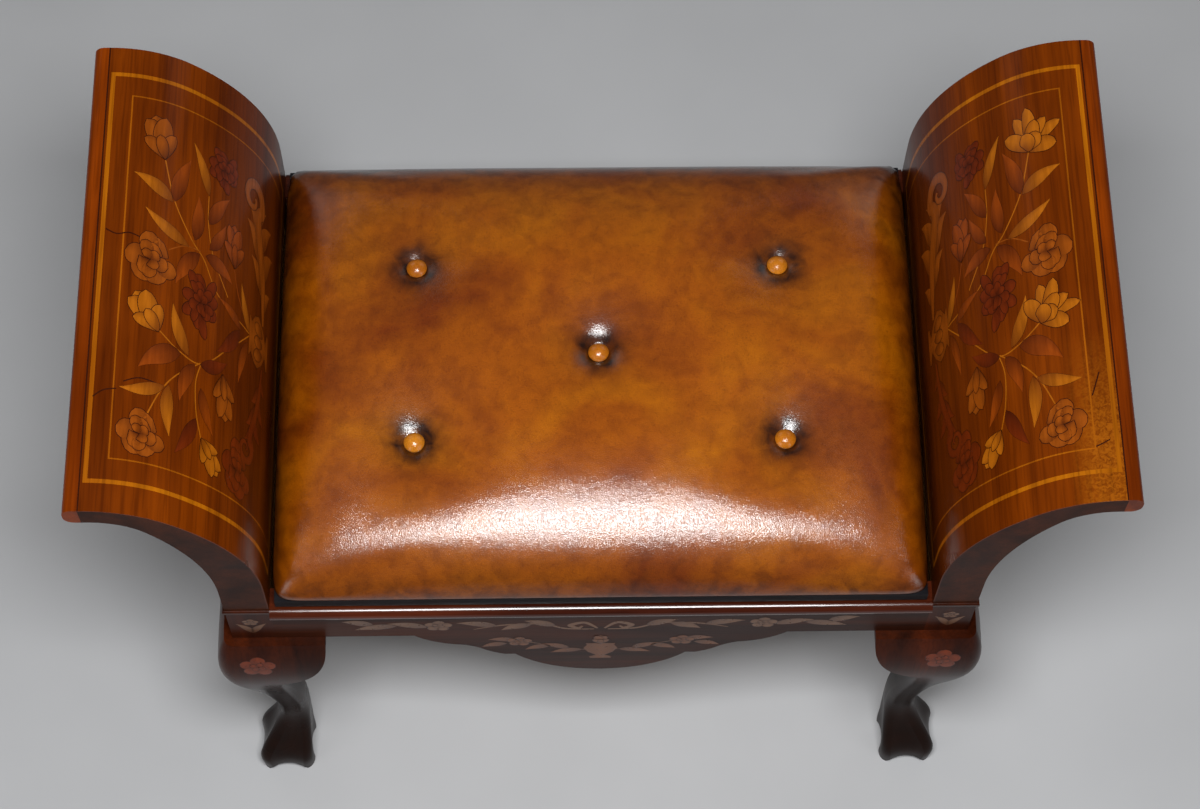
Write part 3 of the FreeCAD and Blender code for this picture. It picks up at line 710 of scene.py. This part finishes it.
def faded(away, amount, reach, power=1):
    """What is left of an amount at a distance."""
    return amount * math.exp(-(away / reach) ** power)


def tuft_drop(x, y):
    """How far the buttons draw the leather down at a point."""
    drop = 0.0
    for tuft, away in zip(tuft_places(), tuft_distances(x, y)):
        depth = board_high.z + crown(*tuft) - button_low.z - tuft_rim_depth
        drop += faded(max(away - button_radius, 0.0), depth, tuft_reach)
        drop += faded(away, tuft_rim_depth, tuft_rim_reach, power=2)
    return drop


def dye_and_pit_shade(x, y):
    """Dark dye round the buttons and along the edges of the pad, with painted shade in the pits right round
    the buttons.
    """
    inside = min(edge_distances(x, y))
    amount = faded(inside, *RIM_DYE) + faded(inside, *EDGE_DYE) + faded(plan_high.y - y, *BACK_DYE)
    for away in tuft_distances(x, y):
        # Painted shade in the pit right round each button, on top of the dye there
        amount += faded(away, *PIT_DYE_AND_SHADE, power=2) + faded(away, *HALO_DYE, power=2)
    return min(amount, most_dye_and_shade)


def apply_modifiers(piece):
    """Turns the piece's modifiers into its mesh."""
    graph = bpy.context.evaluated_depsgraph_get()
    made = bpy.data.meshes.new_from_object(piece.evaluated_get(graph))
    piece.modifiers.clear()
    piece.data = made


def remeshed(piece, voxel):
    """Covers the piece with an even net of faces."""
    modifier = piece.modifiers.new("remesh", "REMESH")
    modifier.mode = "VOXEL"
    modifier.voxel_size = voxel
    modifier.use_smooth_shade = True
    apply_modifiers(piece)


def even_out(piece, rounds, group=""):
    """Smooths the piece, by the weights of a group where one is named."""
    smooth = piece.modifiers.new("even", "SMOOTH")
    smooth.iterations = rounds
    smooth.vertex_group = group
    apply_modifiers(piece)


def pad_block():
    """Plain block with rounded corners, in the space of the pad."""
    block = bmesh.new()
    bmesh.ops.create_cube(block, size=1.0)
    size = plan_high - plan_low
    middle = (plan_high + plan_low) / 2
    for vert in block.verts:
        vert.co = Vector((vert.co.x * size.x, vert.co.y * size.y, vert.co.z * size.z)) + middle
    upright = [edge for edge in block.edges if abs(edge.verts[0].co.z - edge.verts[1].co.z) > size.z / 2]
    bmesh.ops.bevel(block, geom=upright, offset=pad_corner, segments=pad_corner_steps, profile=0.5,
                    affect="EDGES")
    return placed("seat_pad", finished("seat_pad", block))


def raise_crown(mesh):
    """Shapes the block's top into the crown of the stuffed pad."""
    depth = plan_high.z - plan_low.z
    skirt = board_high.z - plan_low.z
    for vert in mesh.vertices:
        share = (vert.co.z - plan_low.z) / depth
        vert.co.z = plan_low.z + share * (skirt + crown(*vert.co.xy))


def press_tufts(mesh):
    """Presses the top in round the buttons."""
    for vert in mesh.vertices:
        share = (vert.co.z - board_high.z) / crown(*vert.co.xy)
        vert.co.z -= tuft_drop(*vert.co.xy) * min(max(share, 0.0), 1.0) ** 2


def stuff(piece):
    """Swells the leather like a stuffed cover, held at the board and under the buttons."""
    held = piece.vertex_groups.new(name="held")
    for vert in piece.data.vertices:
        if button_distance(vert.co) < button_radius or vert.co.z < board_high.z + pad_widest / 2:
            held.add([vert.index], 1.0, "REPLACE")
    before = [vert.co.copy() for vert in piece.data.vertices]
    modifier = piece.modifiers.new("cloth", "CLOTH")
    settings = modifier.settings
    settings.vertex_group_mass = held.name
    settings.use_pressure = True
    settings.uniform_pressure_force = pad_pressure
    settings.effector_weights.gravity = 0.0
    modifier.collision_settings.use_collision = False
    scene = bpy.context.scene
    for step in range(1, pad_cloth_frames + 1):
        scene.frame_set(step)
    apply_modifiers(piece)
    scene.frame_set(1)
    for vert, start in zip(piece.data.vertices, before):
        move = vert.co - start
        if move.length > pad_swell_limit:
            vert.co = start + move.normalized() * pad_swell_limit


def settle(piece):
    """Evens out the leather away from the buttons and above its widest line."""
    loose = piece.vertex_groups.new(name="loose")
    for vert in piece.data.vertices:
        if vert.co.z > board_high.z + pad_widest:
            share = (button_distance(vert.co) - tuft_radius) / tuft_radius
            loose.add([vert.index], min(max(share, 0.0), 1.0), "REPLACE")
    even_out(piece, pad_settling, loose.name)


def draw_in(mesh):
    """Pulls the leather tight round the buttons, where the swelling has filled the pits."""
    for vert in mesh.vertices:
        x, y, z = vert.co
        away = (button_distance(vert.co) - button_radius) / (tuft_radius - button_radius)
        if away < 1 and z > board_high.z + pad_widest:
            tight = board_high.z + crown(x, y) - tuft_drop(x, y)
            share = 1 - max(away, 0.0)
            vert.co.z += (tight - z) * share * share * (3 - 2 * share)


def rest_on_board(mesh):
    """Lifts the underside to the top of the board, inside the lap over its edge."""
    for vert in mesh.vertices:
        if vert.co.z < board_high.z and min(edge_distances(*vert.co.xy)) > pad_lap:
            vert.co.z = board_high.z


def dye_and_shade(mesh):
    """Keeps the share of dark dye and painted pit shade at each point for the leather's material."""
    layer = mesh.attributes.new("dye_and_pit_shade", "FLOAT", "POINT")
    for vert, item in zip(mesh.vertices, layer.data):
        item.value = dye_and_pit_shade(*vert.co.xy)


def make_pad(material):
    """Buttoned leather pad: crowned, tufted, stuffed and settled."""
    piece = pad_block()
    remeshed(piece, pad_voxel)
    raise_crown(piece.data)
    remeshed(piece, pad_voxel)
    even_out(piece, pad_smoothing)
    press_tufts(piece.data)
    stuff(piece)
    settle(piece)
    piece.modifiers.new("smooth", "SUBSURF").levels = 1
    apply_modifiers(piece)
    mesh = piece.data
    draw_in(mesh)
    rest_on_board(mesh)
    dye_and_shade(mesh)
    mesh.shade_smooth()
    mesh.materials.clear()
    mesh.materials.append(material)
    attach(piece, LID_BODY)
    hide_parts("seat_leather", "seat_stuffing")


# Surfaces that carry marquetry

def arm_radii():
    """Radii of the two bends of an arm's seat side."""
    width = veneer_high.x - veneer_low.x
    rise = veneer_high.z - veneer_low.z - arm_straight
    sine = math.sin(arm_first_turn)
    cosine = math.cos(arm_first_turn)
    share = (1 - cosine) * (1 - sine) - sine * cosine
    return (width * (1 - sine) - rise * cosine) / share, (rise * (1 - cosine) - width * sine) / share


def arm_length():
    """Length of the seat side of an arm, up its curve."""
    first, second = arm_radii()
    return arm_straight + first * arm_first_turn + second * (math.pi / 2 - arm_first_turn)


def on_arm(side):
    """Place on an arm's seat side, by the distance up its curve and the distance along the stool."""
    first, second = arm_radii()
    joint = arm_straight + first * arm_first_turn
    end = arm_length()

    def place(up, along, lift):
        if up < arm_straight:
            turn = 0.0
            x = veneer_low.x
            z = veneer_low.z + up
        elif up < joint:
            turn = (up - arm_straight) / first
            x = veneer_low.x + first * (1 - math.cos(turn))
            z = veneer_low.z + arm_straight + first * math.sin(turn)
        else:
            turn = arm_first_turn + (min(up, end) - joint) / second
            x = veneer_high.x - second * math.cos(turn) + max(up - end, 0.0)
            z = veneer_high.z - second * (1 - math.sin(turn))
        x -= lift * math.cos(turn)
        z += lift * math.sin(turn)
        return Vector((side * x, along, z))

    return place


def on_front(end):
    """Place on the flat face of the rail, posts and apron at one end, by x and z."""

    def place(across, height, lift):
        return Vector((across, end * (abs(rail_low.y) + lift), height))

    return place


def on_leg(name, end):
    """Place on the swelling face of a leg, straight in from the front or the back, by x and z."""
    data = nodes[name].data
    faces = [face.vertices for face in data.polygons]
    tree = BVHTree.FromPolygons([vert.co for vert in data.vertices], faces)
    far = 2 * abs(leg_low.y)

    def place(across, height, lift):
        spot, normal = tree.ray_cast(Vector((across, end * far, height)), Vector((0, -end, 0)))[:2]
        return spot + normal * lift

    return place


# Marquetry

class Inlay:
    """Thin pieces of wood laid on one surface, gathered into a single mesh."""

    def __init__(self, place, woods):
        self.place = place
        self.woods = list(woods)
        self.sheets = bmesh.new()
        self.shade = self.sheets.verts.layers.float.new("shade")

    def lay(self, rows, tones, wood_name, layer):
        """Adds one piece from rows of points, with a tone for each point."""
        lift = layer_lift * layer
        grid = []
        for row, row_tones in zip(rows, tones):
            line = []
            for (up, along), tone in zip(row, row_tones):
                vert = self.sheets.verts.new(self.place(up, along, lift))
                vert[self.shade] = tone
                line.append(vert)
            grid.append(line)
        first = rows[0][0]
        outwards = self.place(*first, 1.0) - self.place(*first, 0.0)
        for lower, upper in zip(grid, grid[1:]):
            for index in range(len(lower) - 1):
                corners = (lower[index], lower[index + 1], upper[index + 1], upper[index])
                face = self.sheets.faces.new(corners)
                face.material_index = self.woods.index(wood_name)
                face.smooth = True
                face.normal_update()
                if face.normal.dot(outwards) < 0:
                    face.normal_flip()

    def finish(self, name, materials):
        """Closes the mesh and shows it on the frame."""
        mesh = finished(name, self.sheets)
        for wood_name in self.woods:
            mesh.materials.append(materials[wood_name])
        shown(name, mesh, FRAME_BODY)


def leaf_shape(share):
    """Half width along a leaf: round at its base and pointed at its tip."""
    return math.sin(math.pi * share ** 0.75)


def petal_shape(share):
    """Half width along a petal: round at both ends and widest past its middle."""
    return math.sqrt(math.sin(math.pi * share ** 1.25))


def scorch(share, place):
    """Tone of a leaf or petal: dark at its base and along one side."""
    return min(scorched_base + scorched_run * share, 1.0) * (1 - scorched_side * max(place, 0.0))


def side_tones(rows, shade):
    """Tones of a strip that is darker towards both its sides."""
    return [[1 - shade * abs(place) for place in LEAF_ACROSS]] * len(rows)


def blade(inlay, base, tip, width, bend, shape, wood_name, layer, margin=0.0):
    """One leaf or petal from base to tip, bent sideways, grown by the margin."""
    run = (Vector(tip) - Vector(base)).normalized()
    start = Vector(base) - run * margin
    chord = Vector(tip) + run * margin - start
    side = Vector((-run.y, run.x))
    rows = []
    tones = []
    for step in range(leaf_steps + 1):
        share = step / leaf_steps
        bow = 4 * share * (1 - share)
        middle = start + chord * share + side * (bend * bow)
        along = (chord + side * (bend * 4 * (1 - 2 * share))).normalized()
        across = Vector((-along.y, along.x))
        half = (width / 2 + margin) * max(shape(share), blunt_end)
        rows.append([middle + across * (half * place) for place in LEAF_ACROSS])
        tones.append([scorch(share, place) for place in LEAF_ACROSS])
    inlay.lay(rows, tones, wood_name, layer)


def leaf(inlay, base, tip, width, bend, wood_name):
    """Leaf with a fine dark line round it."""
    blade(inlay, base, tip, width, bend, leaf_shape, "line", line_layer, line_margin / 2)
    blade(inlay, base, tip, width, bend, leaf_shape, wood_name, leaf_layer)


def petal(inlay, base, tip, width, bend, wood_name, layer):
    """Petal with a dark line round it."""
    blade(inlay, base, tip, width, bend, petal_shape, "line", layer, line_margin)
    blade(inlay, base, tip, width, bend, petal_shape, wood_name, layer + 1)


def smooth_point(before, here, there, after, share):
    """Point on a smooth curve from here to there."""
    return 0.5 * (2 * here + (there - before) * share
                  + (2 * before - 5 * here + 4 * there - after) * share ** 2
                  + (3 * here - before - 3 * there + after) * share ** 3)


def ribbon(inlay, points, widths, wood_name, layer):
    """Narrow strip along a smooth line through the points, with a width at each of them."""
    path = [Vector(point) for point in points]
    rows = []
    last = len(path) - 1
    for index in range(last):
        before = path[max(index - 1, 0)]
        here, there = path[index], path[index + 1]
        after = path[min(index + 2, last)]
        for step in range(leaf_steps + (index == last - 1)):
            share = step / leaf_steps
            middle = smooth_point(before, here, there, after, share)
            ahead = smooth_point(before, here, there, after, share + look_ahead) - middle
            across = Vector((-ahead.y, ahead.x)).normalized()
            half = (widths[index] + (widths[index + 1] - widths[index]) * share) / 2
            rows.append([middle + across * (half * place) for place in LEAF_ACROSS])
    inlay.lay(rows, side_tones(rows, ribbon_side_shade), wood_name, layer)


def stem(inlay, points, wood_name):
    ribbon(inlay, points, [stem_width] * len(points), wood_name, stem_layer)


def fan(inlay, base, tip, petals, width, wood_name):
    """Flower seen from the side: petals that spread from one point, each laid over the one before."""
    run = Vector(tip) - Vector(base)
    layer = flower_layer
    for degrees, length, breadth in petals:
        way = Matrix.Rotation(math.radians(degrees), 2) @ run * length
        bend = -fan_bend * run.length * math.copysign(1, degrees) if degrees else 0.0
        petal(inlay, base, Vector(base) + way, width * breadth, bend, wood_name, layer)
        layer += 2


def rose(inlay, centre, radius, stretch, rings, wild, wood_name):
    """Open flower of rings of petals, drawn out along the stool by the stretch, ragged where it is wild."""
    layer = flower_layer
    for ring, (count, inner, outer, breadth) in enumerate(rings):
        for index in range(count):
            ragged = wild * math.sin(ragged_petal_step * index + ragged_ring_step * ring)
            angle = math.tau * (index + ring_turn * ring + first_petal_turn + ragged_turn * ragged) / count
            way = Vector((math.cos(angle), math.sin(angle) * stretch)) * radius * (1 + ragged_length * ragged)
            base = Vector(centre) + way * inner
            tip = Vector(centre) + way * outer
            width = radius * breadth * (1 - ragged_width * ragged)
            petal(inlay, base, tip, width, ragged_bend * radius * ragged, wood_name, layer)
        layer += 2


def small_rose(inlay, centre, radius, wood_name):
    """Small flower with even petals."""
    rose(inlay, centre, radius, 1.0, KNEE_RINGS, 0.0, wood_name)


def metres(points):
    """Points given in millimetres as points in metres."""
    return [(up / 1000, along / 1000) for up, along in points]


def scroll(inlay, root, eye, radius, breadth, way, wood_name):
    """Leafy scroll that leaves its root and winds in towards its eye."""
    curl = []
    for step in range(scroll_steps):
        angle = scroll_start + scroll_turn * step
        size = radius * (1 - step / (scroll_steps + 1))
        curl.append((eye[0] + size * math.sin(angle), eye[1] + way * size * math.cos(angle)))
    halfway = ((root[0] + curl[0][0]) / 2 - scroll_sag, (root[1] + curl[0][1]) / 2)
    run = [root, halfway] + curl
    widths = [breadth / 3, breadth]
    widths += [breadth * (1 - step / (scroll_steps + 2)) for step in range(scroll_steps)]
    ribbon(inlay, run, [width + 2 * line_margin for width in widths], "line", leaf_layer)
    ribbon(inlay, run, widths, wood_name, flower_layer)
    for step, share in enumerate(SCROLL_LOBES):
        base = Vector(root).lerp(Vector(curl[0]), share)
        reach = breadth * (lobe_least + lobe_swell * math.sin(math.pi * share))
        facing = 1 if step % 2 else -1
        tip = base + reach * Vector((lobe_out * facing, lobe_onward * way))
        leaf(inlay, base, tip, lobe_width * reach, lobe_bend * reach * facing * way, wood_name)


def vase(inlay, middle, stations, wood_name):
    """Vase standing up the surface, from its half widths at rising heights, with ribs on its body."""
    line_under = flower_layer + 1
    body_layer = line_under + 1
    rib_layer = body_layer + 2
    for name, layer, extra in (("line", line_under, line_margin), (wood_name, body_layer, 0.0)):
        rows = [[(up, middle + place * (half + extra)) for place in LEAF_ACROSS] for up, half in stations]
        inlay.lay(rows, side_tones(rows, vase_side_shade), name, layer)
    foot, belly, shoulder = stations[3:6]
    for place in (-0.5, 0.0, 0.5):
        base = (foot[0], middle + place * foot[1])
        tip = (shoulder[0], middle + place * belly[1] * vase_rib_spread)
        petal(inlay, base, tip, belly[1] * vase_rib_width, 0.0, wood_name, rib_layer)


def arm_vase(inlay):
    """Vase and its two leafy scrolls beside the seat."""
    for root, eye, radius, breadth, way, wood_name in ARM_SCROLLS:
        scroll(inlay, *metres((root, eye)), radius / 1000, breadth / 1000, way, wood_name)
    vase(inlay, vase_middle / 1000, metres(ARM_VASE), "brown")


def arm_bouquet(inlay, petals, top_wood):
    """Flowers that rise up the arm from a vase beside the seat."""
    for wood_name, *points in BOUQUET_STEMS:
        stem(inlay, metres(points), wood_name)
    for base, tip, width, bend, wood_name in BOUQUET_LEAVES:
        leaf(inlay, *metres((base, tip)), width / 1000, bend / 1000, wood_name)
    for centre, radius, stretch, rings, wood_name in BOUQUET_ROSES:
        rose(inlay, *metres([centre]), radius / 1000, stretch, rings, 1.0, wood_name)
    for (base, tip, width), wood_name in ((TOP_FLOWER, top_wood), (LOWER_FLOWER, "yellow")):
        fan(inlay, *metres((base, tip)), petals, width / 1000, wood_name)
    for base, tip, width, wood_name in BOUQUET_TULIPS:
        fan(inlay, *metres((base, tip)), TULIP, width / 1000, wood_name)
    arm_vase(inlay)


def arm_wear(inlay, side):
    """Old cracks in the ground, and the dark joint beside the edge strip."""
    for points in CRACKS[side]:
        ribbon(inlay, metres(points), [crack_width] * len(points), "line", line_layer)
    joint = arm_length() - line_margin
    ribbon(inlay, [(joint, veneer_low.y), (joint, veneer_high.y)], [2 * line_margin] * 2, "line", stem_layer)


def on_rail(points, way=1, middle=0.0):
    """Places by millimetres out from a middle line and up from the foot of the rail."""
    return [(middle + across * way / 1000, rail_low.z + height / 1000) for across, height in points]


def front_spray(inlay):
    """Scrolls, leaves and flowers on the rail and the apron."""
    for way in (1, -1):
        bend = spray_leaf_bend * way
        ribbon(inlay, on_rail(RAIL_CURL, way), RAIL_CURL_WIDTHS, "pale", line_layer)
        ribbon(inlay, on_rail(RAIL_STEM, way), RAIL_STEM_WIDTHS, "pale", stem_layer)
        for base_and_tip in RAIL_LEAVES:
            leaf(inlay, *on_rail(base_and_tip, way), rail_leaf_width, bend, "pale")
        small_rose(inlay, *on_rail([RAIL_ROSE], way), rail_rose_radius, "pale")
        stem(inlay, on_rail(APRON_STEM, way), "pale")
        for base_and_tip in APRON_LEAVES:
            leaf(inlay, *on_rail(base_and_tip, way), apron_leaf_width, bend, "tan")
        small_rose(inlay, *on_rail([APRON_ROSE], way), apron_rose_radius, "tan")
    rows = [on_rail((place * half, height) for place in LEAF_ACROSS) for half, height in APRON_VASE]
    inlay.lay(rows, side_tones(rows, apron_vase_side_shade), "tan", line_layer)
    fan(inlay, *on_rail(APRON_TULIP), TULIP, apron_tulip_width, "tan")


def knee_flower(inlay, side):
    """Flower on the knee and a small sprig on the post above it."""
    middle = side * (side_high.x + side_low.x) / 2
    small_rose(inlay, *on_rail([KNEE_ROSE], 1, middle), knee_rose_radius, "knee")
    for way in (1, -1):
        leaf(inlay, *on_rail(SPRIG_LEAF, way, middle), sprig_leaf_width, spray_leaf_bend * way, "pale")
    small_rose(inlay, *on_rail([SPRIG_ROSE], 1, middle), sprig_rose_radius, "pale")


def make_marquetry():
    """Inlay of the arms, and of the rail, apron and knees at the front and the back."""
    woods = {key: inlay_wood(*looks) for key, looks in INLAY_WOODS.items()}
    for side, way in SIDES.items():
        inlay = Inlay(on_arm(way), woods)
        arm_bouquet(inlay, *LARGE_FLOWERS[side])
        arm_wear(inlay, side)
        inlay.finish("arm_marquetry_" + side, woods)
    for end, way in ENDS.items():
        spray = Inlay(on_front(way), woods)
        front_spray(spray)
        spray.finish("rail_marquetry_" + end, woods)
        for side, side_way in SIDES.items():
            knee = Inlay(on_leg("leg_" + end + "_" + side, way), woods)
            knee_flower(knee, side_way)
            knee.finish("knee_marquetry_" + end + "_" + side, woods)


# Cloth and felt

def make_lining(material):
    """Cloth under the lid board, a little slack between its glued edges."""
    sheet = bmesh.new()
    bmesh.ops.create_grid(sheet, x_segments=lining_columns, y_segments=lining_rows, size=0.5)
    size = lining_high - lining_low
    middle = (lining_high + lining_low) / 2
    for vert in sheet.verts:
        x, y = vert.co.xy
        wave = math.sin(lining_ripples_across * x + lining_ripple_slant * y)
        ripple = wave * math.cos(lining_ripples_along * y)
        inside = (1 - 4 * x ** 2) * (1 - 4 * y ** 2)
        drop = size.z * (0.5 + 0.5 * inside * abs(ripple))
        vert.co = Vector((middle.x + x * size.x, middle.y + y * size.y, lining_high.z - drop))
    mesh = finished("lid_cloth", sheet)
    mesh.materials.append(material)
    mesh.shade_smooth()
    piece = shown("lid_cloth", mesh, LID_BODY)
    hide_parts("lid_lining")


def make_buffers(material):
    """Felt pads with pressed, rounded rims."""
    radius = (buffer_high.y - buffer_low.y) / 2
    height = buffer_high.z - buffer_low.z
    felt = bmesh.new()
    for side in (-1, 1):
        middle = Vector((side * (buffer_high.x - radius), buffer_low.y + radius, buffer_low.z))
        line = [felt.verts.new(middle + Vector((radius * out, 0, height * up))) for out, up in FELT_PROFILE]
        edges = [felt.edges.new(pair) for pair in zip(line, line[1:])]
        bmesh.ops.spin(felt, geom=line + edges, cent=middle, axis=(0, 0, 1), angle=math.tau,
                       steps=felt_steps, use_merge=True)
    bmesh.ops.remove_doubles(felt, verts=felt.verts, dist=radius / 100)
    bmesh.ops.recalc_face_normals(felt, faces=felt.faces)
    mesh = finished("felt_buffers", felt)
    mesh.shade_smooth()
    mesh.materials.append(material)
    piece = shown("felt_buffers", mesh, FRAME_BODY)
    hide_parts("lid_buffers")


# Whole scene

def paint_frame():
    """Materials of the CAD nodes that keep their own shapes."""
    for *looks, node_names in WOODS:
        paint(wood(*looks).material, *node_names)
    paint(ground_wood(), "arm_veneer_")
    paint(leg_wood(), "leg_")
    paint(ebonised(), "lid_board")
    paint(brass(), "hinge_")
    paint(cloth("linen_twine", (196, 180, 150), (140, 120, 90), threads=900.0), "button_twines")
    paint(leather("button_leather", (170, 92, 8), (196, 116, 20), (206, 129, 30)), "seat_buttons")


make_camera()
make_world()
make_lights()
make_floor()
paint_frame()
make_pad(leather("hand_dyed_leather", (120, 50, 1), (156, 79, 1), (175, 98, 2)))
make_marquetry()
make_lining(cloth("black_lining", (64, 52, 46), (34, 27, 24), threads=700.0))
make_buffers(cloth("green_felt", (70, 84, 58), (40, 52, 34), threads=1400.0))
bpy.context.scene.view_settings.view_transform = "Standard"
